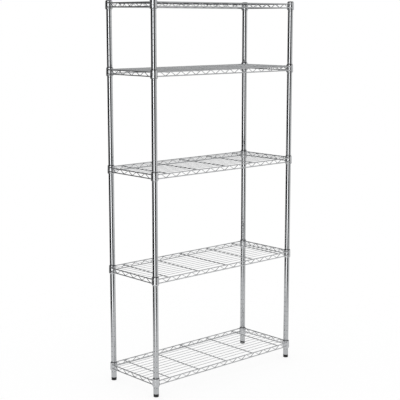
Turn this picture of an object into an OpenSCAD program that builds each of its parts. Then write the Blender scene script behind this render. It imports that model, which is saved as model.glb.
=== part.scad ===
// Wire shelving rack: four grooved round posts, five welded wire shelves that wedge down
// on split tapered sleeves, and four screw feet. Millimetres.
// Origin: centre of the footprint on the floor. +X runs along the shelves, -Y is the
// front, +Z is up.

/* [Rack] */
// Length of a shelf over its outer rails
shelf_l = 914.4; // [700:0.1:1220]
// Depth of a shelf over its outer rails
shelf_d = 355.6; // [300:0.1:610]
// Height of the lowest shelf's collar tops above the floor
first_level = 88.9; // [85:0.1:140]
// Grooves from one shelf to the next, from the bottom up
level_steps = [19, 19, 18, 12]; // [12:1:20]

/* [Posts] */
// Outside diameter of a post
post_d = 25.4; // [25:0.1:25.8]
// Wall thickness of a post
post_wall = 1.2; // [1.1:0.1:1.6]
// Height of one step from groove to groove
groove_pitch = 25.4; // [20:0.1:30]
// Depth of a groove
groove_depth = 0.5; // [0.4:0.1:0.8]
// Groove number, from the lowest shelf up, above which the two post halves meet
seam_groove = 33; // [20:1:40]

/* [Collars and sleeves] */
// Height of a shelf's corner collar
collar_h = 38; // [34:0.5:42]
// Outside diameter of a collar at its top rim
collar_top_d = 32.8; // [32.4:0.1:34]
// Outside diameter of a collar above its bottom chamfer
collar_bottom_d = 34.2; // [33.8:0.1:35]
// Outside diameter of a sleeve at the collar's top rim
sleeve_top_d = 27.8; // [27.6:0.1:28.4]
// Outside diameter of a sleeve at the collar's bottom rim
sleeve_bottom_d = 29.8; // [29:0.1:30.2]
// Radial gap between a sleeve and the collar on it
sleeve_gap = 0.1; // [0.05:0.05:0.3]
// Height that a sleeve stands above its collar
sleeve_peek = 3; // [0.5:0.1:4]

/* [Shelf wires] */
// Diameter of the four top and four bottom rails
rail_d = 5; // [4:0.1:6]
// Thickness of the zigzag wire between the rails
truss_d = 3; // [2.4:0.1:3.6]
// Length of one full zigzag
truss_pitch = 61; // [50:0.5:70]
// Height of the zigzag from its low turns to its high turns, along the wire's middle
truss_h = 16; // [14:0.5:17]
// Diameter of the wires that make the shelf's surface
deck_d = 2.5; // [2:0.1:3.5]
// Number of surface wires
deck_count = 10; // [8:2:16]
// Diameter of the supports under the surface wires
cross_d = 4.5; // [3.5:0.1:5.5]
// Full zigzags from one support to the next
cross_step = 3; // [2:1:4]
// Depth that one wire sinks into another at a weld
weld = 0.3; // [0.2:0.05:0.5]

/* [Feet] */
// Height of a foot's pad
pad_h = 14.2; // [12:0.1:18]
// Diameter of a foot's stud
stud_d = 9.5; // [8:0.1:10]
// Length of a foot's stud above its pad
stud_l = 30; // [26:0.5:34]

/* [Hidden] */
$fn = 64;
eps = 0.01;

// Colours
chrome = "#c9ccd0";
zinc = "#a9adb1";
black_plastic = "#1c1c1e";

// Corners of the rack, seen from the front
FRONT_LEFT = [-1, -1];
FRONT_RIGHT = [1, -1];
BACK_RIGHT = [1, 1];
BACK_LEFT = [-1, 1];
CORNERS = [FRONT_LEFT, FRONT_RIGHT, BACK_RIGHT, BACK_LEFT];

// Rails run past the outside of the collars, tangent to them
rail_out = 15.5;                        // from a post's axis out to a rail's axis
rail_end = 8;                           // from a post's axis along to a rail's end
rail_x = shelf_l / 2 - rail_d / 2;
rail_y = shelf_d / 2 - rail_d / 2;
post_x = rail_x - rail_out;
post_y = rail_y - rail_out;

// Heights below a shelf's collar tops
top_rail_z = -8.5;
bottom_rail_z = -27.5;
deck_z = top_rail_z + 1;
cross_z = deck_z - deck_d / 2 - cross_d / 2 + weld;
truss_z = (top_rail_z + bottom_rail_z) / 2;

// Each shelf's collar tops, above the floor
function steps_below(k) = k == 0 ? 0 : level_steps[k - 1] + steps_below(k - 1);
levels = [for (k = [0:4]) first_level + groove_pitch * steps_below(k)];

// Zigzags: an odd number of slopes, so a wire starts high at one end and ends low
truss_inset = rail_d / 2 + truss_d / 2 - weld;
truss_flat = 6;                         // level run at each turn
truss_clear = 18;                       // kept free beside each post's axis
long_slopes = 2 * floor(2 * (post_x - truss_clear) / truss_pitch) + 1;
short_slopes = 2 * floor(2 * (post_y - truss_clear) / truss_pitch) + 1;

// Surface wires and the supports under them
deck_edge = 1.2;                        // gap from a long rail to the first wire, in wire spacings
deck_pitch = 2 * rail_y / (deck_count - 1 + 2 * deck_edge);
cross_pitch = cross_step * truss_pitch;
cross_side = floor((post_x - 2 * truss_clear) / cross_pitch);

// Posts: both halves share one run of grooves, and each shelf's sleeves grip one groove
ridge_drop = collar_h / 2;              // from a collar's top down to its sleeves' ridge
groove_w = 2;
groove_floor_w = 0.8;
ridge_w = 1.4;
groove_0 = first_level - ridge_drop;
groove_margin = 6;                      // plain tube kept at each end of a post half
post_bottom = pad_h + 0.3;
post_top = levels[4] + sleeve_peek - 1;
post_bore = post_d - 2 * post_wall;
seam_z = groove_0 + groove_pitch * (seam_groove + 0.5);
tube_chamfer = 0.4;

// Sleeves: taper in radius for each millimetre of height, and the sleeve's own sizes
taper = (sleeve_bottom_d - sleeve_top_d) / 2 / collar_h;
function sleeve_r(z) = sleeve_top_d / 2 - z * taper;
sleeve_bore = post_d + 0.1;             // beside the ridge
sleeve_draft = 0.05;                    // added to the bore's radius at both ends
sleeve_split = 0.8;                     // width of each slot between the two half sleeves
ridge_h = groove_depth - 0.1;

// Collars
collar_chamfer = 4;
collar_rim = 0.6;
collar_foot_r = collar_bottom_d / 2 - 1.4;

// Threaded inserts pressed into the tubes
insert_l = 18;
joint_stud_d = 10;
joint_stud_l = 14;
thread_gap = 0.1;
cap_h = 2;
cap_edge = 0.8;

// Feet
pad_round = 2.2;
pad_flutes = 8;
pad_flute_d = 2.4;
flange_d = 16;
flange_h = 3;
flange_z = 6;
pad_gap = 0.3;

// ---------- placing ----------

module at_corner(c) {
  translate([c[0] * post_x, c[1] * post_y, 0]) children();
}

module at_corners() {
  for (c = CORNERS) at_corner(c) children();
}

module at_level(k) {
  translate([0, 0, levels[k - 1]]) children();
}

// A round wire along X, centred
module wire_x(length, d) {
  rotate([0, 90, 0]) cylinder(d = d, h = length, center = true);
}

// A round wire along Y, centred
module wire_y(length, d) {
  rotate([90, 0, 0]) cylinder(d = d, h = length, center = true);
}

// ---------- shelves, drawn with their collar tops at z = 0 ----------

// Corner collar: a tapered bore that wedges on the sleeve, and a chamfered foot
module collar() {
  bore_top = sleeve_r(0) + sleeve_gap;
  bore_bottom = sleeve_r(-collar_h) + sleeve_gap;
  rotate_extrude() polygon([
    [bore_bottom, -collar_h],
    [collar_foot_r, -collar_h],
    [collar_bottom_d / 2, -collar_h + collar_chamfer],
    [collar_top_d / 2, -collar_rim],
    [collar_top_d / 2 - collar_rim, 0],
    [bore_top, 0]
  ]);
}

module collars(k) {
  color(chrome) at_level(k) at_corners() collar();
}

// Four straight rails round a shelf, their ends welded to the outside of the collars
module rails(z) {
  for (side = [-1, 1]) {
    translate([0, side * rail_y, z]) wire_x(2 * (post_x - rail_end), rail_d);
    translate([side * rail_x, 0, z]) wire_y(2 * (post_y - rail_end), rail_d);
  }
}

module top_rails(k) {
  color(chrome) at_level(k) rails(top_rail_z);
}

module bottom_rails(k) {
  color(chrome) at_level(k) rails(bottom_rail_z);
}

// One zigzag wire in the XZ plane, centred, with a short level run at each turn
module zigzag(slopes) {
  slope_angle = atan2(truss_h, truss_pitch / 2 - truss_flat);
  mitre = truss_d / 2 * tan(slope_angle / 2);
  start_x = -slopes * truss_pitch / 4;
  function high(i) = i % 2 == 0 ? 1 : -1;
  function turn(i, end, side) = [
    start_x + i * truss_pitch / 2 + end * (truss_flat / 2 + side * high(i) * mitre),
    high(i) * truss_h / 2 + side * truss_d / 2
  ];
  upper_edge = [for (i = [0:slopes]) for (end = [-1, 1]) turn(i, end, 1)];
  lower_edge = [for (i = [slopes:-1:0]) for (end = [1, -1]) turn(i, end, -1)];
  rotate([90, 0, 0]) linear_extrude(height = truss_d, center = true)
    polygon(concat(upper_edge, lower_edge));
}

module truss_wires(k) {
  color(chrome) at_level(k) translate([0, 0, truss_z]) {
    for (side = [-1, 1]) {
      translate([0, side * (rail_y - truss_inset), 0]) zigzag(long_slopes);
      translate([side * (rail_x - truss_inset), 0, 0]) rotate([0, 0, 90]) zigzag(short_slopes);
    }
  }
}

// Thin wires along the shelf, from one end rail to the other
module deck_wires(k) {
  length = 2 * (rail_x - rail_d / 2 + weld);
  color(chrome) at_level(k)
    for (i = [0:deck_count - 1])
      translate([0, (i - (deck_count - 1) / 2) * deck_pitch, deck_z]) wire_x(length, deck_d);
}

// Thick supports from front rail to back rail, under the deck wires
module cross_supports(k) {
  length = 2 * (rail_y - rail_d / 2 + 3 * weld);
  color(chrome) at_level(k)
    for (i = [-cross_side:cross_side])
      translate([i * cross_pitch, 0, cross_z]) wire_y(length, cross_d);
}

// ---------- posts ----------

// Outer edge of one groove, from its lower lip to its upper lip
function groove_points(z) = [
  [post_d / 2, z - groove_w / 2],
  [post_d / 2 - groove_depth, z - groove_floor_w / 2],
  [post_d / 2 - groove_depth, z + groove_floor_w / 2],
  [post_d / 2, z + groove_w / 2]
];

// One grooved tube from z0 to z1
module post_tube(z0, z1) {
  first = ceil((z0 + groove_margin - groove_0) / groove_pitch);
  last = floor((z1 - groove_margin - groove_0) / groove_pitch);
  grooves = [for (n = [first:last]) each groove_points(groove_0 + n * groove_pitch)];
  outline = concat(
    [[post_bore / 2, z0], [post_d / 2 - tube_chamfer, z0], [post_d / 2, z0 + tube_chamfer]],
    grooves,
    [[post_d / 2, z1 - tube_chamfer], [post_d / 2 - tube_chamfer, z1], [post_bore / 2, z1]]
  );
  rotate_extrude() polygon(outline);
}

module post_lower(corner) {
  color(chrome) at_corner(corner) post_tube(post_bottom, seam_z);
}

module post_upper(corner) {
  color(chrome) at_corner(corner) post_tube(seam_z, post_top);
}

// Plugs pressed into the lower tubes, each with the stud that joins the two halves
module post_joint_studs() {
  color(zinc) at_corners() union() {
    translate([0, 0, seam_z - insert_l]) cylinder(d = post_bore, h = insert_l);
    translate([0, 0, seam_z - eps]) cylinder(d = joint_stud_d, h = joint_stud_l + eps);
  }
}

// A ring pressed into a tube, with a plain hole for the thread
module thread_ring(z, hole_d) {
  translate([0, 0, z]) difference() {
    cylinder(d = post_bore, h = insert_l);
    translate([0, 0, -1]) cylinder(d = hole_d, h = insert_l + 2);
  }
}

module post_joint_nuts() {
  color(zinc) at_corners() thread_ring(seam_z, joint_stud_d + 2 * thread_gap);
}

module foot_nuts() {
  color(zinc) at_corners() thread_ring(post_bottom, stud_d + 2 * thread_gap);
}

// Plugs that close the post tops, with a chamfered rim
module post_caps() {
  color(black_plastic) at_corners() rotate_extrude() polygon([
    [0, post_top - insert_l / 2],
    [post_bore / 2, post_top - insert_l / 2],
    [post_bore / 2, post_top],
    [post_d / 2, post_top],
    [post_d / 2, post_top + cap_h - cap_edge],
    [post_d / 2 - cap_edge, post_top + cap_h],
    [0, post_top + cap_h]
  ]);
}

// ---------- sleeves ----------

// Two half sleeves round a post, with a ridge inside that sits in a groove
module split_sleeve() {
  difference() {
    rotate_extrude() polygon([
      [sleeve_bore / 2 + sleeve_draft, -collar_h],
      [sleeve_r(-collar_h), -collar_h],
      [sleeve_r(sleeve_peek), sleeve_peek],
      [sleeve_bore / 2 + sleeve_draft, sleeve_peek],
      [sleeve_bore / 2, -ridge_drop + ridge_w / 2],
      [post_d / 2 - ridge_h, -ridge_drop + groove_floor_w / 4],
      [post_d / 2 - ridge_h, -ridge_drop - groove_floor_w / 4],
      [sleeve_bore / 2, -ridge_drop - ridge_w / 2]
    ]);
    cube([2 * sleeve_bottom_d, sleeve_split, 3 * collar_h], center = true);
  }
}

module sleeves(k) {
  color(black_plastic) at_level(k) at_corners() split_sleeve();
}

// ---------- feet ----------

// Threaded stud with a round flange that is held in the pad
module foot_stud(corner) {
  color(zinc) at_corner(corner) union() {
    translate([0, 0, flange_z + pad_gap]) cylinder(d = flange_d, h = flange_h);
    translate([0, 0, flange_z + pad_gap + eps]) cylinder(d = stud_d, h = pad_h + stud_l - flange_z);
  }
}

// Round pad with a rounded lower edge, grip flutes and a pocket for the stud's flange
module foot_pad(corner) {
  lower_edge = [for (a = [0:15:90])
    [post_d / 2 - pad_round * (1 - sin(a)), pad_round * (1 - cos(a))]];
  color(black_plastic) at_corner(corner) difference() {
    rotate_extrude() polygon(concat(
      [[0, 0]],
      lower_edge,
      [[post_d / 2, pad_h - cap_edge], [post_d / 2 - cap_edge, pad_h], [0, pad_h]]
    ));
    translate([0, 0, flange_z]) cylinder(d = flange_d + 2 * pad_gap, h = flange_h + 2 * pad_gap);
    translate([0, 0, flange_z]) cylinder(d = stud_d + 2 * pad_gap, h = pad_h);
    for (i = [0:pad_flutes - 1])
      rotate([0, 0, i * 360 / pad_flutes])
        translate([post_d / 2 + pad_flute_d / 4, 0, pad_round + 1]) cylinder(d = pad_flute_d, h = pad_h);
  }
}

collars(1);  // shelf_1_collars
top_rails(1);  // shelf_1_top_rails
bottom_rails(1);  // shelf_1_bottom_rails
truss_wires(1);  // shelf_1_truss_wires
deck_wires(1);  // shelf_1_deck_wires
cross_supports(1);  // shelf_1_cross_supports

collars(2);  // shelf_2_collars
top_rails(2);  // shelf_2_top_rails
bottom_rails(2);  // shelf_2_bottom_rails
truss_wires(2);  // shelf_2_truss_wires
deck_wires(2);  // shelf_2_deck_wires
cross_supports(2);  // shelf_2_cross_supports

collars(3);  // shelf_3_collars
top_rails(3);  // shelf_3_top_rails
bottom_rails(3);  // shelf_3_bottom_rails
truss_wires(3);  // shelf_3_truss_wires
deck_wires(3);  // shelf_3_deck_wires
cross_supports(3);  // shelf_3_cross_supports

collars(4);  // shelf_4_collars
top_rails(4);  // shelf_4_top_rails
bottom_rails(4);  // shelf_4_bottom_rails
truss_wires(4);  // shelf_4_truss_wires
deck_wires(4);  // shelf_4_deck_wires
cross_supports(4);  // shelf_4_cross_supports

collars(5);  // shelf_5_collars
top_rails(5);  // shelf_5_top_rails
bottom_rails(5);  // shelf_5_bottom_rails
truss_wires(5);  // shelf_5_truss_wires
deck_wires(5);  // shelf_5_deck_wires
cross_supports(5);  // shelf_5_cross_supports

sleeves(1);  // sleeves_1
sleeves(2);  // sleeves_2
sleeves(3);  // sleeves_3
sleeves(4);  // sleeves_4
sleeves(5);  // sleeves_5

post_lower(FRONT_LEFT);  // post_lower_front_left
post_lower(FRONT_RIGHT);  // post_lower_front_right
post_lower(BACK_RIGHT);  // post_lower_back_right
post_lower(BACK_LEFT);  // post_lower_back_left
post_upper(FRONT_LEFT);  // post_upper_front_left
post_upper(FRONT_RIGHT);  // post_upper_front_right
post_upper(BACK_RIGHT);  // post_upper_back_right
post_upper(BACK_LEFT);  // post_upper_back_left

post_joint_studs();
post_joint_nuts();
post_caps();
foot_nuts();

foot_stud(FRONT_LEFT);  // foot_stud_front_left
foot_stud(FRONT_RIGHT);  // foot_stud_front_right
foot_stud(BACK_RIGHT);  // foot_stud_back_right
foot_stud(BACK_LEFT);  // foot_stud_back_left
foot_pad(FRONT_LEFT);  // foot_pad_front_left
foot_pad(FRONT_RIGHT);  // foot_pad_front_right
foot_pad(BACK_RIGHT);  // foot_pad_back_right
foot_pad(BACK_LEFT);  // foot_pad_back_left
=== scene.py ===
"""The looks of a chrome wire shelving rack: five welded wire shelves that wedge on split
sleeves, four grooved posts and four screw feet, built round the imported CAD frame."""

import math
import random

import bmesh
import bpy
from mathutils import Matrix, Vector


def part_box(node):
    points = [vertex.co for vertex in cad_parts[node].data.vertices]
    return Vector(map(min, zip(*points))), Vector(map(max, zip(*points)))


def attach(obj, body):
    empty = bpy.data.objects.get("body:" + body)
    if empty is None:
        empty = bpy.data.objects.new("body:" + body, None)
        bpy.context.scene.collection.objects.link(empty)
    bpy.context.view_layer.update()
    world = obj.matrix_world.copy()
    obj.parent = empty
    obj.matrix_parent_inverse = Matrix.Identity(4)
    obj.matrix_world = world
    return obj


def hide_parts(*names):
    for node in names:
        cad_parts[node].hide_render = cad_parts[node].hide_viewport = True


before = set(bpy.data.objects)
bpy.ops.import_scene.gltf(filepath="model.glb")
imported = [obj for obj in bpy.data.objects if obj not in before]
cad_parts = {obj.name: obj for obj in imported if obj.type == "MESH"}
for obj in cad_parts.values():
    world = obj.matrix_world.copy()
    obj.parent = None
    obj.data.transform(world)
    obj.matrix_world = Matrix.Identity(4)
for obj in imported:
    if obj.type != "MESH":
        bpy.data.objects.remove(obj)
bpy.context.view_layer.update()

MM = 0.001
TURN = 2 * math.pi
X, Y, Z = Vector((1, 0, 0)), Vector((0, 1, 0)), Vector((0, 0, 1))
CORNERS = ("front_left", "front_right", "back_right", "back_left")
SHELVES = (1, 2, 3, 4, 5)
BOTH = (-1, 1)


# ---------- sizes that the frame gives ----------

def low(node):
    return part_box(node)[0]


def high(node):
    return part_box(node)[1]


def size(node):
    return high(node) - low(node)


def middle(node):
    return (high(node) + low(node)) / 2


def foot_of(node):
    """Where a node's upright axis meets the floor."""
    return Vector((middle(node).x, middle(node).y, 0))


POST_FEET = {corner: foot_of(f"post_lower_{corner}") for corner in CORNERS}
POST_X = POST_FEET["front_right"].x
POST_Y = POST_FEET["back_right"].y
POST_R = size("post_lower_front_left").x / 2
POST_TOP = high("post_upper_front_left").z
FIRST_LEVEL = high("shelf_1_collars").z
COLLAR_H = size("shelf_1_collars").z
COLLAR_R = high("shelf_1_collars").x - POST_X
SLEEVE_FOOT_R = high("sleeves_1").x - POST_X
RAIL_R = size("shelf_1_top_rails").z / 2
RAIL_X = high("shelf_1_top_rails").x - RAIL_R
RAIL_Y = high("shelf_1_top_rails").y - RAIL_R
DECK_R = size("shelf_1_deck_wires").z / 2
CROSS_R = size("shelf_1_cross_supports").z / 2
PAD_TOP = high("foot_pad_front_left").z

# ---------- sizes of the detail ----------

GROOVE_PITCH = 25.4 * MM
GROOVE_W = 2 * MM
GROOVE_DEPTH = 0.5 * MM
GROOVE_MARGIN = 6 * MM          # plain tube kept at each end of a post half
POST_WALL = 1.2 * MM
POST_BORE_R = POST_R - POST_WALL
TUBE_EDGE = 0.4 * MM
COLLAR_TAPER = 0.7 * MM         # from the top rim out to the widest
COLLAR_CHAMFER = 4 * MM
COLLAR_FOOT_IN = 1.4 * MM       # from the widest in to the foot of the chamfer
# Fillets of the wall's corners, from the bore's foot out, up and back down; 0 leaves one sharp
COLLAR_ROUNDS = (0.2 * MM, 0.4 * MM, 2.5 * MM, 0.9 * MM, 0.5 * MM)
SLEEVE_TAPER = 1 * MM           # from the collar's top rim out to the sleeve's foot
SLEEVE_GAP = 0.1 * MM           # between a sleeve and its collar
SLEEVE_FIT = 0.05 * MM          # between a post and a sleeve
SLEEVE_BORE_R = POST_R + SLEEVE_FIT
SLEEVE_ROUNDS = (0.3 * MM, 0.5 * MM, 0.4 * MM, 0.2 * MM, 0, 0.3 * MM, 0)
SLEEVE_SLOT = 0.8 * MM
SLEEVE_DRAFT = 0.05 * MM        # added to a sleeve's bore radius at both ends
RIDGE_H = 0.4 * MM
RIDGE_W = 1.4 * MM
RAIL_END = 8 * MM               # from a post's axis along to a rail's end
RAIL_BEAD = (3 * MM, 1.5 * MM, 2.3 * MM)    # half of a bead's size along, across and up
RAIL_BEAD_AT = 8.8 * MM         # from a post's axis along to the weld at a rail's end
TRUSS_D = 3 * MM
TRUSS_PITCH = 61 * MM
TRUSS_FLAT = 6 * MM
TRUSS_CLEAR = 18 * MM           # kept free beside each post's axis
TRUSS_BEAD = (2.2 * MM, 0.9 * MM, 1.1 * MM)
TRUSS_BEAD_OUT = 0.6 * MM       # past the wire's axis at a turn, up or down
DECK_COUNT = 10
DECK_BEAD = (2 * MM, 1.7 * MM, 0.8 * MM)
CROSS_COUNT = 5
CROSS_BEAD = (2.7 * MM, 1.5 * MM, 1.7 * MM)
CROSS_BEAD_IN = 0.4 * MM        # from a rail's inner face on into the rail
CROSS_BEAD_UP = 0.5 * MM        # from a support's axis
SWAY = 0.1 * MM                 # how far a thin wire strays from dead straight
PAD_ROUND = 2.2 * MM
PAD_EDGE = 0.8 * MM
PAD_FLUTES = 8
PAD_FLUTE_DEPTH = 0.55 * MM
PAD_FLUTE_Z = 3.2 * MM
PAD_SIDE_STEPS = 9              # rings up a pad's upright side
PAD_GAP = 0.3 * MM
PIN_R = 0.1 * MM                # a ring this small is closed as the middle of a face
STUD_R = 4.75 * MM
FLANGE_R = 8 * MM
FLANGE_H = 3 * MM
THREAD_PITCH = 1.5875 * MM
THREAD_DEPTH = 0.5 * MM
THREAD_STEPS = 6                # rings to one turn of thread
STUD_EDGE = 0.3 * MM
THREAD_RUNOUT = 3               # rings left off the thread at the stud's top
CAP_PLUG = 9 * MM
CAP_LEAD_IN = 0.6 * MM
CAP_EDGE = 0.8 * MM
CAP_CROWN = 0.5 * MM

chance = random.Random(36)


# ---------- mesh building ----------

# A ring this many times as far from a corner as its fillet holds the face beyond it flat
HOLD = 1.3
FILLET_STEPS = 4
DOME_ANGLES = (0.4, 0.8, 1.2, TURN / 4)
BEAD_TILTS = (-1.2, -0.6, 0, 0.6, 1.2)
SHARP_ANGLE = 38                # degrees between faces from which an edge is shaded sharp


def quarter(steps):
    """The cosine and sine of evenly spaced angles from nothing to a quarter turn."""
    angles = [TURN / 4 * i / steps for i in range(steps + 1)]
    return [(math.cos(a), math.sin(a)) for a in angles]


def fillet(before, corner, after, radius):
    """The arc that rounds a corner, and a point on each straight run beside it."""
    back = (before - corner).normalized()
    on = (after - corner).normalized()
    half = back.angle(on) / 2
    centre = corner + (back + on).normalized() * radius / math.sin(half)
    reach = radius / math.tan(half)
    start = (corner + back * reach - centre).normalized()
    end = (corner + on * reach - centre).normalized()
    shares = [i / FILLET_STEPS for i in range(FILLET_STEPS + 1)]
    arc = [centre + start.slerp(end, share) * radius for share in shares]
    return [corner + back * reach * HOLD, *arc, corner + on * reach * HOLD]


def rounded(outline, radii):
    """A closed (radius, height) outline with each corner rounded; 0 leaves it sharp."""
    points = [Vector(point) for point in outline]
    made = []
    for i, radius in enumerate(radii):
        if radius:
            after = points[(i + 1) % len(points)]
            made += fillet(points[i - 1], points[i], after, radius)
        else:
            made.append(points[i])
    return made


class Skin:
    """Points and faces gathered for one piece. weld tells a weld's points, 1, from the rest, 0."""

    def __init__(self):
        self.points = []
        self.faces = []
        self.weld = []

    def loft(self, rings, loop=False, weld=0.0):
        """Joins rings of points by quads, and closes both ends unless the rings make a loop."""
        first = len(self.points)
        sides = len(rings[0])
        for ring in rings:
            self.points += ring
            self.weld += [weld] * sides
        for i in range(len(rings) if loop else len(rings) - 1):
            here = first + i * sides
            there = first + (i + 1) % len(rings) * sides
            for j in range(sides):
                k = (j + 1) % sides
                self.faces.append((here + j, here + k, there + k, there + j))
        if not loop:
            last = first + (len(rings) - 1) * sides
            self.faces.append([first + j for j in reversed(range(sides))])
            self.faces.append([last + j for j in range(sides)])

    def wire(self, path, radius, side, sides):
        """A round wire along a path that lies square to side, with softly domed ends."""
        def ring(point, along, share):
            across = side.cross(along)
            return [
                point + (across * math.cos(a) + side * math.sin(a)) * radius * share
                for a in (TURN * j / sides for j in range(sides))
            ]

        depth = radius / 2
        dome = [(depth * (1 - math.cos(a)), math.sin(a)) for a in DOME_ANGLES]
        # A second full ring keeps the dome's shading off the rest of the wire
        dome.append((2 * depth, 1))
        start = (path[1] - path[0]).normalized()
        end = (path[-1] - path[-2]).normalized()
        rings = [ring(path[0] + start * shift, start, share) for shift, share in dome]
        for before, point, after in zip(path, path[1:], path[2:]):
            rings.append(ring(point, (after - before).normalized(), 1))
        rings += [ring(path[-1] - end * shift, end, share) for shift, share in reversed(dome)]
        self.loft(rings)

    def spin(self, outline, foot, sides, start=0.0, sweep=TURN):
        """Turns a closed (radius, height) outline round an upright axis, or part of the way."""
        whole = sweep == TURN
        rings = []
        for i in range(sides if whole else sides + 1):
            a = start + sweep * i / sides
            out = X * math.cos(a) + Y * math.sin(a)
            rings.append([foot + out * r + Z * z for r, z in outline])
        self.loft(rings, loop=whole)

    def turned(self, outline, foot, sides, shape=None):
        """A solid turned on an upright axis. shape gives a radius from radius, height, angle."""
        rings = []
        for r, z in outline:
            ring = []
            for a in (TURN * j / sides for j in range(sides)):
                reach = shape(r, z, a) if shape else r
                ring.append(foot + (X * math.cos(a) + Y * math.sin(a)) * reach + Z * z)
            rings.append(ring)
        self.loft(rings)

    def bead(self, centre, reach, sides=8):
        """A small flattened lump of weld metal."""
        rings = []
        for tilt in BEAD_TILTS:
            rings.append([
                centre + Vector((
                    reach[0] * math.cos(tilt) * math.cos(a),
                    reach[1] * math.cos(tilt) * math.sin(a),
                    reach[2] * math.sin(tilt),
                ))
                for a in (TURN * j / sides for j in range(sides))
            ])
        self.loft(rings, weld=1.0)

    def place(self, name, body, slot, *nodes):
        """Makes the gathered faces one piece, which rides on a body and stands for CAD nodes."""
        mesh = bpy.data.meshes.new(name)
        mesh.from_pydata(self.points, [], self.faces)
        mesh.attributes.new("weld", "FLOAT", "POINT").data.foreach_set("value", self.weld)
        turner = bmesh.new()
        turner.from_mesh(mesh)
        bmesh.ops.recalc_face_normals(turner, faces=turner.faces)
        turner.to_mesh(mesh)
        turner.free()
        mesh.shade_smooth()
        mesh.set_sharp_from_angle(angle=math.radians(SHARP_ANGLE))
        mesh.materials.append(MATERIALS[slot])
        piece = bpy.data.objects.new(name, mesh)
        bpy.context.collection.objects.link(piece)
        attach(piece, body)
        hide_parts(*nodes)


# ---------- materials ----------

PLATE_EDGE = 0.5                # brightness of plate that is seen at a glance
WELD_GREY = 0.61                # brightness of a weld beside the plate round it
WELD_SHOWS = 0.7                # share of a weld's own grey in its colour
WELD_DULLS = 0.25               # added to a weld's roughness
PLASTIC_SHINE = 0.3             # clean plastic has 0.5


def grey(level):
    return (level, level, level, 1)


class Nodes:
    """Short ways to add nodes to a shader tree."""

    def __init__(self, tree):
        self.tree = tree

    def add(self, kind, **settings):
        node = self.tree.nodes.new(kind)
        for name, value in settings.items():
            setattr(node, name, value)
        return node

    def feed(self, socket, value):
        """Links an output to a socket, or sets the socket's own value."""
        if isinstance(value, bpy.types.NodeSocket):
            self.tree.links.new(value, socket)
        else:
            socket.default_value = value

    def spread(self, value, start, end, first, last):
        """Carries a value from one range to another, held at both ends."""
        node = self.add("ShaderNodeMapRange")
        for socket, given in zip(node.inputs, (value, start, end, first, last)):
            self.feed(socket, given)
        return node.outputs[0]

    def maths(self, a, b, operation="ADD", clamp=True):
        """One calculation with two values. clamp holds the answer between 0 and 1."""
        node = self.add("ShaderNodeMath", operation=operation, use_clamp=clamp)
        self.feed(node.inputs[0], a)
        self.feed(node.inputs[1], b)
        return node.outputs[0]

    def blend(self, share, first, second):
        """Mixes two colours. Inputs 6 and 7 and output 2 are the Mix node's colour sockets."""
        node = self.add("ShaderNodeMix", data_type="RGBA")
        self.feed(node.inputs[0], share)
        self.feed(node.inputs[6], first)
        self.feed(node.inputs[7], second)
        return node.outputs[2]

    def split(self, vector):
        """The X, Y and Z of a vector."""
        node = self.add("ShaderNodeSeparateXYZ")
        self.feed(node.inputs[0], vector)
        return node.outputs


class Finish(Nodes):
    """A Principled material. Its patterns are laid in metres."""

    def __init__(self, name):
        self.material = bpy.data.materials.new(name)
        self.material.use_nodes = True
        super().__init__(self.material.node_tree)
        self.surface = self.tree.nodes["Principled BSDF"]
        self.place = self.add("ShaderNodeTexCoord").outputs["Object"]

    def stretched(self, scale):
        node = self.add("ShaderNodeMapping")
        self.feed(node.inputs["Vector"], self.place)
        node.inputs["Scale"].default_value = scale
        return node.outputs["Vector"]

    def noise(self, scale, detail=3.0, vector=None):
        node = self.add("ShaderNodeTexNoise")
        self.feed(node.inputs["Vector"], vector or self.place)
        node.inputs["Scale"].default_value = scale
        node.inputs["Detail"].default_value = detail
        return node.outputs[0]

    def height(self):
        """How far above the floor a point is when the rack is at rest."""
        return self.split(self.place)["Z"]

    def welded(self):
        return self.add("ShaderNodeAttribute", attribute_name="weld").outputs["Fac"]

    def bump(self, pattern, depth, strength):
        node = self.add("ShaderNodeBump")
        node.inputs["Strength"].default_value = strength
        node.inputs["Distance"].default_value = depth
        self.feed(node.inputs["Height"], pattern)
        self.feed(self.surface.inputs["Normal"], node.outputs["Normal"])

    def colour(self, value):
        self.feed(self.surface.inputs["Base Color"], value)

    def roughness(self, value):
        self.feed(self.surface.inputs["Roughness"], value)

    def metal(self, edge):
        """edge is how bright the plate is where it is seen at a glance."""
        self.surface.inputs["Metallic"].default_value = 1.0
        self.surface.inputs["Specular Tint"].default_value = grey(edge)


def plated(name, bright, dull, smooth, rough):
    """Bright chrome plate: faint clouding, fine polishing marks, and greyer, duller welds."""
    finish = Finish(name)
    finish.metal(PLATE_EDGE)
    clouds = finish.noise(scale=9.0, detail=4.0)
    smudges = finish.noise(scale=46.0, detail=5.0)
    marks = finish.noise(scale=700.0, detail=2.0, vector=finish.stretched((1.0, 1.0, 0.25)))
    weld = finish.welded()
    plate = finish.blend(finish.spread(clouds, 0.35, 0.7, 0.0, 1.0), bright, dull)
    heated = tuple(part * WELD_GREY for part in dull[:3]) + (1.0,)
    finish.colour(finish.blend(finish.maths(weld, WELD_SHOWS, "MULTIPLY"), plate, heated))
    polish = finish.spread(smudges, 0.42, 0.72, smooth, rough)
    finish.roughness(finish.maths(polish, finish.maths(weld, WELD_DULLS, "MULTIPLY")))
    finish.bump(marks, depth=0.02 * MM, strength=0.35)
    return finish.material


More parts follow.
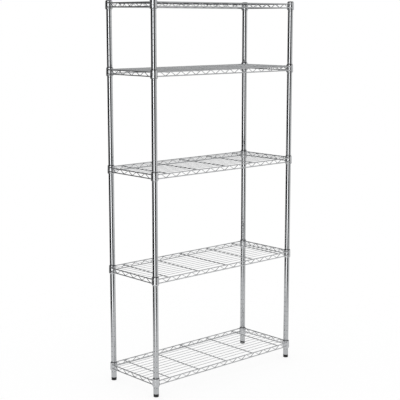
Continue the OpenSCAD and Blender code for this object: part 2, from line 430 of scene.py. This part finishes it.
def zinc(name):
    """Zinc plate: pale blue-grey with a mottled spangle."""
    finish = Finish(name)
    finish.metal(PLATE_EDGE)
    spangle = finish.noise(scale=220.0)
    finish.colour(finish.blend(
        finish.spread(spangle, 0.35, 0.65, 0.0, 1.0),
        (0.50, 0.52, 0.54, 1.0), (0.64, 0.65, 0.66, 1.0)))
    finish.roughness(finish.spread(finish.noise(scale=90.0), 0.3, 0.7, 0.28, 0.46))
    finish.bump(finish.noise(scale=1500.0, detail=2.0), depth=0.03 * MM, strength=0.4)
    return finish.material


def moulded(name, colour, worn, rough, scuff_height=0.0):
    """Black moulded plastic with a fine grain. Below scuff_height it is scuffed by the floor."""
    finish = Finish(name)
    grain = finish.noise(scale=2600.0, detail=2.0)
    patches = finish.noise(scale=70.0, detail=4.0)
    wear = finish.spread(patches, 0.5, 0.8, 0.0, 0.6)
    if scuff_height:
        near_floor = finish.spread(finish.height(), 0.0, scuff_height, 0.8, 0.0)
        scratches = finish.noise(
            scale=500.0, detail=4.0, vector=finish.stretched((1.0, 1.0, 3.0)))
        wear = finish.maths(wear, finish.maths(near_floor, scratches, "MULTIPLY"))
    finish.colour(finish.blend(wear, colour, worn))
    finish.surface.inputs["Specular IOR Level"].default_value = PLASTIC_SHINE
    finish.roughness(finish.spread(patches, 0.3, 0.75, rough - 0.07, rough + 0.1))
    finish.bump(grain, depth=0.04 * MM, strength=0.5)
    return finish.material


MATERIALS = {
    "chrome_wire": plated(
        "chrome_wire", (0.66, 0.67, 0.68, 1), (0.59, 0.60, 0.61, 1), 0.08, 0.16),
    "chrome_collar": plated(
        "chrome_collar", (0.60, 0.61, 0.62, 1), (0.54, 0.55, 0.56, 1), 0.28, 0.38),
    "chrome_post": plated(
        "chrome_post", (0.52, 0.53, 0.54, 1), (0.48, 0.49, 0.50, 1), 0.03, 0.07),
    "zinc_fitting": zinc("zinc_fitting"),
    "sleeve_plastic": moulded(
        "sleeve_plastic", (0.020, 0.020, 0.022, 1), (0.050, 0.050, 0.053, 1), 0.48),
    "cap_plastic": moulded(
        "cap_plastic", (0.022, 0.022, 0.024, 1), (0.055, 0.055, 0.058, 1), 0.42),
    "foot_plastic": moulded(
        "foot_plastic", (0.005, 0.005, 0.006, 1), (0.030, 0.029, 0.028, 1), 0.34, 4 * MM),
}


# ---------- shelves ----------

def rail_wires(skin, z):
    """Four straight rails round a shelf, between its collars."""
    for side in BOTH:
        reach = X * (POST_X - RAIL_END)
        middle_of = Y * side * RAIL_Y + Z * z
        skin.wire([middle_of - reach, middle_of, middle_of + reach], RAIL_R, Z, sides=16)
        reach = Y * (POST_Y - RAIL_END)
        middle_of = X * side * RAIL_X + Z * z
        skin.wire([middle_of - reach, middle_of, middle_of + reach], RAIL_R, Z, sides=16)


def rail_welds(skin, z):
    """The bead at each end of each rail, where it runs into a collar."""
    to_rail_x = RAIL_X - POST_X - RAIL_R / 3
    to_rail_y = RAIL_Y - POST_Y - RAIL_R / 3
    long, wide, tall = RAIL_BEAD
    for foot in POST_FEET.values():
        out_x = X * math.copysign(1, foot.x)
        out_y = Y * math.copysign(1, foot.y)
        skin.bead(foot + out_y * to_rail_y - out_x * RAIL_BEAD_AT + Z * z, (long, wide, tall))
        skin.bead(foot + out_x * to_rail_x - out_y * RAIL_BEAD_AT + Z * z, (wide, long, tall))


def rails(k, which):
    node = f"shelf_{k}_{which}_rails"
    skin = Skin()
    rail_wires(skin, middle(node).z)
    rail_welds(skin, middle(node).z)
    skin.place(f"{node}_round", f"shelf_{k}", "chrome_wire", node)


def collars(k):
    """Corner collars: a tapered bore, a soft rim, and a chamfered foot."""
    node = f"shelf_{k}_collars"
    top = high(node).z
    bottom = top - COLLAR_H
    bore_foot = SLEEVE_FOOT_R + SLEEVE_GAP
    bore_top = bore_foot - SLEEVE_TAPER
    outline = rounded(
        [(bore_foot, bottom), (COLLAR_R - COLLAR_FOOT_IN, bottom),
         (COLLAR_R, bottom + COLLAR_CHAMFER), (COLLAR_R - COLLAR_TAPER, top), (bore_top, top)],
        COLLAR_ROUNDS)
    skin = Skin()
    for foot in POST_FEET.values():
        skin.spin(outline, foot, sides=56)
    skin.place(f"{node}_pressed", f"shelf_{k}", "chrome_collar", node)


def zigzag(slopes, rise):
    """(along, up) points of a zigzag, centred, with each turn bent to one smooth arc."""
    tilt = math.atan2(rise, TRUSS_PITCH / 2 - TRUSS_FLAT)
    bend_r = TRUSS_FLAT / 2 / math.tan(tilt / 2)
    arc_steps = 4
    end = slopes * TRUSS_PITCH / 4
    made = [(-end - TRUSS_FLAT / 2, rise / 2)]
    for i in range(slopes + 1):
        turn_at = i * TRUSS_PITCH / 2 - end
        side = 1 if i % 2 == 0 else -1
        first = 0 if i == 0 else -arc_steps
        last = 0 if i == slopes else arc_steps
        for step in range(first, last + 1):
            a = tilt * step / arc_steps
            up = rise / 2 - bend_r * (1 - math.cos(a))
            made.append((turn_at + bend_r * math.sin(a), side * up))
    made.append((end + TRUSS_FLAT / 2, -rise / 2))
    return made


def slopes_between(half_length):
    """How many slopes of zigzag fit between two posts: an odd number."""
    return 2 * math.floor(2 * (half_length - TRUSS_CLEAR) / TRUSS_PITCH) + 1


def truss_wires(k):
    """A zigzag wire inside each pair of rails, with a weld at every turn."""
    node = f"shelf_{k}_truss_wires"
    rise = size(node).z - TRUSS_D
    z = middle(node).z
    long, wide, tall = TRUSS_BEAD
    skin = Skin()
    # run is -1 for the short zigzags, which start at the back
    for along, run, across, half_length, reach, rail in (
            (X, 1, Y, POST_X, high(node).y, RAIL_Y), (Y, -1, X, POST_Y, high(node).x, RAIL_X)):
        slopes = slopes_between(half_length)
        offset = reach - TRUSS_D / 2
        weld_at = (reach + rail - RAIL_R) / 2
        for side in BOTH:
            path = [across * side * offset + along * run * step + Z * (z + up)
                    for step, up in zigzag(slopes, rise)]
            skin.wire(path, TRUSS_D / 2, across, sides=10)
            for i in range(slopes + 1):
                step = i * TRUSS_PITCH / 2 - slopes * TRUSS_PITCH / 4
                up = (rise / 2 + TRUSS_BEAD_OUT) * (1 if i % 2 == 0 else -1)
                skin.bead(across * side * weld_at + along * run * step + Z * (z + up),
                          along * long + across * wide + Z * tall, sides=6)
    skin.place(f"{node}_bent", f"shelf_{k}", "chrome_wire", node)


def deck_places(k):
    """The Y of each surface wire."""
    node = f"shelf_{k}_deck_wires"
    first = low(node).y + DECK_R
    pitch = (size(node).y - 2 * DECK_R) / (DECK_COUNT - 1)
    return [first + i * pitch for i in range(DECK_COUNT)]


def cross_places(k):
    """The X of each support."""
    node = f"shelf_{k}_cross_supports"
    first = low(node).x + CROSS_R
    pitch = (size(node).x - 2 * CROSS_R) / (CROSS_COUNT - 1)
    return [first + i * pitch for i in range(CROSS_COUNT)]


def deck_wires(k):
    """Thin wires along the shelf, a touch uneven, with a weld on each support."""
    node = f"shelf_{k}_deck_wires"
    z = middle(node).z
    length = size(node).x
    spans = 2 * (CROSS_COUNT + 1)
    skin = Skin()
    for y in deck_places(k):
        path = []
        for i in range(spans + 1):
            stray = 0 if i in (0, spans) else SWAY
            path.append(Vector((
                low(node).x + length * i / spans,
                y + chance.uniform(-stray, stray),
                z - chance.uniform(0, stray))))
        skin.wire(path, DECK_R, Y, sides=10)
        for x in cross_places(k):
            skin.bead(Vector((x, y, z - DECK_R)), DECK_BEAD)
    skin.place(f"{node}_drawn", f"shelf_{k}", "chrome_wire", node)


def cross_supports(k):
    """Thick supports from front to back, welded to the long top rails."""
    node = f"shelf_{k}_cross_supports"
    z = middle(node).z
    reach = Y * size(node).y / 2
    skin = Skin()
    for x in cross_places(k):
        centre = X * x + Z * z
        skin.wire([centre - reach, centre, centre + reach], CROSS_R, Z, sides=14)
        for side in BOTH:
            to_weld = Y * side * (RAIL_Y - RAIL_R + CROSS_BEAD_IN) + Z * CROSS_BEAD_UP
            skin.bead(centre + to_weld, CROSS_BEAD)
    skin.place(f"{node}_drawn", f"shelf_{k}", "chrome_wire", node)


# ---------- posts and sleeves ----------

def post_outline(bottom, top):
    """A closed outline of a grooved tube's wall, as (radius, height)."""
    ridge_line = FIRST_LEVEL - COLLAR_H / 2
    first = math.ceil((bottom + GROOVE_MARGIN - ridge_line) / GROOVE_PITCH)
    last = math.floor((top - GROOVE_MARGIN - ridge_line) / GROOVE_PITCH)
    made = [(POST_BORE_R, bottom), (POST_R - TUBE_EDGE, bottom), (POST_R, bottom + TUBE_EDGE),
            (POST_R, bottom + 2 * TUBE_EDGE)]
    for n in range(first, last + 1):
        for step in (-HOLD, -1, -0.5, 0, 0.5, 1, HOLD):
            depth = GROOVE_DEPTH * (1 + math.cos(math.pi * min(abs(step), 1))) / 2
            made.append((POST_R - depth, ridge_line + n * GROOVE_PITCH + GROOVE_W / 2 * step))
    return made + [(POST_R, top - 2 * TUBE_EDGE), (POST_R, top - TUBE_EDGE),
                   (POST_R - TUBE_EDGE, top), (POST_BORE_R, top)]


def post(half, corner):
    node = f"post_{half}_{corner}"
    skin = Skin()
    skin.spin(post_outline(low(node).z, high(node).z), POST_FEET[corner], sides=40)
    skin.place(f"{node}_rolled", "root", "chrome_post", node)


def sleeves(k):
    """Pairs of half sleeves, each with a ridge inside that sits in a groove."""
    node = f"sleeves_{k}"
    level = high(f"shelf_{k}_collars").z
    top, bottom = high(node).z, level - COLLAR_H
    ridge = level - COLLAR_H / 2
    top_r = SLEEVE_FOOT_R - SLEEVE_TAPER * (1 + (top - level) / COLLAR_H)
    outline = rounded(
        [(SLEEVE_BORE_R + SLEEVE_DRAFT, bottom), (SLEEVE_FOOT_R, bottom), (top_r, top),
         (SLEEVE_BORE_R + SLEEVE_DRAFT, top),
         (SLEEVE_BORE_R, ridge + RIDGE_W / 2), (POST_R - RIDGE_H, ridge),
         (SLEEVE_BORE_R, ridge - RIDGE_W / 2)],
        SLEEVE_ROUNDS)
    half_slot = SLEEVE_SLOT / 2 / SLEEVE_BORE_R
    skin = Skin()
    for foot in POST_FEET.values():
        for start in (half_slot, math.pi + half_slot):
            skin.spin(outline, foot, 24, start, math.pi - 2 * half_slot)
    skin.place(f"{node}_moulded", "root", "sleeve_plastic", node)


def post_caps():
    """Plugs that close the post tops, with a soft edge and a shallow crown."""
    top = high("post_caps").z
    rim = top - CAP_CROWN
    outline = [
        (POST_BORE_R - CAP_LEAD_IN, POST_TOP - CAP_PLUG), (POST_BORE_R, POST_TOP - CAP_PLUG * 0.9),
        (POST_BORE_R, POST_TOP), (POST_R, POST_TOP)]
    for cos, sin in quarter(4):
        outline.append((POST_R - CAP_EDGE * (1 - cos), rim - CAP_EDGE * (1 - sin)))
    for share in (0.7, 0.4, 0.1):
        outline.append((POST_R * share, top - CAP_CROWN * share ** 2))
    skin = Skin()
    for foot in POST_FEET.values():
        skin.turned(outline, foot, sides=48)
    skin.place("post_caps_moulded", "root", "cap_plastic", "post_caps")


# ---------- feet ----------

def threaded(r, z, angle):
    """The radius of a thread whose crest is at STUD_R; other radii are left as they are."""
    if r != STUD_R:
        return r
    return r - THREAD_DEPTH / 2 * (1 - math.cos(TURN * z / THREAD_PITCH - angle))


def foot_stud(corner):
    """Threaded stud with a round flange that is held in the pad."""
    node = f"foot_stud_{corner}"
    bottom, top = low(node).z, high(node).z
    shoulder = bottom + FLANGE_H
    core_r = STUD_R - THREAD_DEPTH
    outline = [
        (FLANGE_R - STUD_EDGE, bottom), (FLANGE_R, bottom + STUD_EDGE),
        (FLANGE_R, shoulder - STUD_EDGE), (FLANGE_R - STUD_EDGE, shoulder), (core_r, shoulder)]
    rings = round((top - shoulder) / THREAD_PITCH * THREAD_STEPS)
    for i in range(1, rings - THREAD_RUNOUT):
        outline.append((STUD_R, shoulder + (top - shoulder) * i / rings))
    outline += [(core_r, top - 2 * STUD_EDGE), (core_r - STUD_EDGE, top)]
    skin = Skin()
    skin.turned(outline, POST_FEET[corner], 24, threaded)
    skin.place(f"{node}_threaded", node, "zinc_fitting", node)


def fluted(r, z, angle):
    """The radius of a pad with grip flutes in its side, which start above PAD_FLUTE_Z."""
    if r < POST_R - PAD_EDGE / 2:
        return r
    start = min(max((z - PAD_FLUTE_Z) / PAD_FLUTE_DEPTH, 0), 1)
    return r - PAD_FLUTE_DEPTH * start * max(0, math.cos(PAD_FLUTES * angle)) ** 2


def foot_pad(corner):
    """Round pad with a rounded lower edge, grip flutes and a pocket for the stud's flange."""
    node = f"foot_pad_{corner}"
    pocket = low(f"foot_stud_{corner}").z - PAD_GAP
    pocket_top = pocket + FLANGE_H + 2 * PAD_GAP
    hole_r = STUD_R + PAD_GAP
    outline = [(PIN_R, 0)]
    for cos, sin in quarter(6):
        outline.append((POST_R - PAD_ROUND * (1 - sin), PAD_ROUND * (1 - cos)))
    side_h = PAD_TOP - PAD_EDGE - PAD_ROUND
    for i in range(1, PAD_SIDE_STEPS + 1):
        outline.append((POST_R, PAD_ROUND + side_h * i / PAD_SIDE_STEPS))
    for cos, sin in quarter(4)[1:]:
        outline.append((POST_R - PAD_EDGE * (1 - cos), PAD_TOP - PAD_EDGE * (1 - sin)))
    outline += [(hole_r, PAD_TOP), (hole_r, pocket_top), (FLANGE_R + PAD_GAP, pocket_top),
                (FLANGE_R + PAD_GAP, pocket), (PIN_R, pocket)]
    skin = Skin()
    skin.turned(outline, POST_FEET[corner], 96, fluted)
    skin.place(f"{node}_moulded", node, "foot_plastic", node)


def hidden_fittings():
    """The fittings inside the tubes keep their CAD shape and take the zinc finish."""
    for node in ("post_joint_studs", "post_joint_nuts", "foot_nuts"):
        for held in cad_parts[node].material_slots:
            held.material = MATERIALS["zinc_fitting"]


# ---------- the studio ----------

CAMERA_AT = (-3.443, -3.764, 1.728)
CAMERA_TURN = 42.30             # degrees clockwise from +Y, seen from above
CAMERA_DOWN = 9.67              # degrees
CAMERA_LENS = 94.87
FLOOR_R = 2.4
FLOOR_FULL = 1.0                # the floor is whole out to here, then thins to nothing
FLOOR_GONE = 1.9
FLOOR_WHITE = 0.18              # takes the soft shadows
FLOOR_GLOW = 0.82               # brings the floor up to the white of the room
FLOOR_GLOW_MIRRORED = 0.70
DAYLIGHT = 1.0
CEILING = 0.12
CEILING_RISE = (0.45, 0.80)     # sine of the height where the ceiling starts and is whole
FAR_FLOOR = 0.12
FAR_FLOOR_FALL = (-0.30, -0.55)


def studio_camera():
    data = bpy.data.cameras.new("studio_camera")
    data.lens = CAMERA_LENS
    data.sensor_width = 36
    data.clip_end = 100
    camera = bpy.data.objects.new("studio_camera", data)
    camera.location = CAMERA_AT
    camera.rotation_euler = (math.radians(90 - CAMERA_DOWN), 0, math.radians(-CAMERA_TURN))
    bpy.context.collection.objects.link(camera)
    bpy.context.scene.camera = camera


def studio_floor():
    """A pale round floor that thins out into the pale room."""
    mesh = bpy.data.meshes.new("studio_floor")
    rim = [(FLOOR_R * math.cos(a), FLOOR_R * math.sin(a), 0)
           for a in (TURN * i / 128 for i in range(128))]
    mesh.from_pydata(rim, [], [range(len(rim))])
    floor = bpy.data.objects.new("studio_floor", mesh)
    paint = Finish("studio_floor")
    mirrored = paint.add("ShaderNodeLightPath").outputs["Is Glossy Ray"]
    glow = paint.spread(mirrored, 0.0, 1.0, FLOOR_GLOW, FLOOR_GLOW_MIRRORED)
    paint.colour(grey(FLOOR_WHITE))
    paint.surface.inputs["Emission Color"].default_value = grey(1)
    paint.feed(paint.surface.inputs["Emission Strength"], glow)
    paint.roughness(1.0)
    paint.surface.inputs["Specular IOR Level"].default_value = 0.0
    reach = paint.add("ShaderNodeVectorMath", operation="LENGTH")
    paint.feed(reach.inputs[0], paint.place)
    shown = paint.spread(reach.outputs["Value"], FLOOR_FULL, FLOOR_GONE, 1.0, 0.0)
    paint.feed(paint.surface.inputs["Alpha"], shown)
    mesh.materials.append(paint.material)
    bpy.context.collection.objects.link(floor)


# Light boxes round the room as (degrees clockwise from behind the camera, brightness)
ROOM = (
    (-180, 0.50), (-130, 0.55), (-112, 0.36), (-102, 0.02), (-32, 0.0), (-26, 2.8), (-4, 2.8),
    (2, 0.0), (46, 0.0), (56, 0.55), (84, 0.86), (104, 1.0), (150, 0.90), (180, 0.50),
)


def studio_room(sky):
    """What chrome mirrors: the bands of ROOM, a dark ceiling and a dark distant floor."""
    turned = sky.add("ShaderNodeVectorRotate", rotation_type="Z_AXIS")
    turned.inputs["Angle"].default_value = math.radians(CAMERA_TURN)
    sky.feed(turned.inputs["Vector"], sky.add("ShaderNodeTexCoord").outputs["Generated"])
    parts = sky.split(turned.outputs["Vector"])
    behind = sky.maths(parts["Y"], -1, "MULTIPLY", clamp=False)
    angle = sky.maths(parts["X"], behind, "ARCTAN2", clamp=False)
    bands = sky.add("ShaderNodeValToRGB")
    ramp = bands.color_ramp
    while len(ramp.elements) < len(ROOM):
        ramp.elements.new(0.5)
    for element, (degrees, brightness) in zip(ramp.elements, ROOM):
        element.position = degrees / 360 + 0.5
        element.color = grey(brightness)
    sky.feed(bands.inputs["Fac"], sky.spread(angle, -math.pi, math.pi, 0.0, 1.0))
    overhead = sky.spread(parts["Z"], *CEILING_RISE, 0.0, 1.0)
    underfoot = sky.spread(parts["Z"], *FAR_FLOOR_FALL, 0.0, 1.0)
    room = sky.blend(overhead, bands.outputs["Color"], grey(CEILING))
    return sky.blend(underfoot, room, grey(FAR_FLOOR))


def studio_light():
    """Soft even light from every side. Only mirrored rays see the room."""
    world = bpy.data.worlds.new("studio")
    world.use_nodes = True
    sky = Nodes(world.node_tree)
    mirrored = sky.add("ShaderNodeLightPath").outputs["Is Glossy Ray"]
    seen = sky.blend(mirrored, grey(DAYLIGHT), studio_room(sky))
    sky.feed(sky.tree.nodes["Background"].inputs["Color"], seen)
    bpy.context.scene.world = world
    view = bpy.context.scene.view_settings
    view.view_transform = "Standard"
    view.look = "None"


# ---------- putting it together ----------

for k in SHELVES:
    collars(k)
    rails(k, "top")
    rails(k, "bottom")
    truss_wires(k)
    deck_wires(k)
    cross_supports(k)
    sleeves(k)
for corner in CORNERS:
    post("lower", corner)
    post("upper", corner)
    foot_stud(corner)
    foot_pad(corner)
post_caps()
hidden_fittings()
studio_camera()
studio_floor()
studio_light()
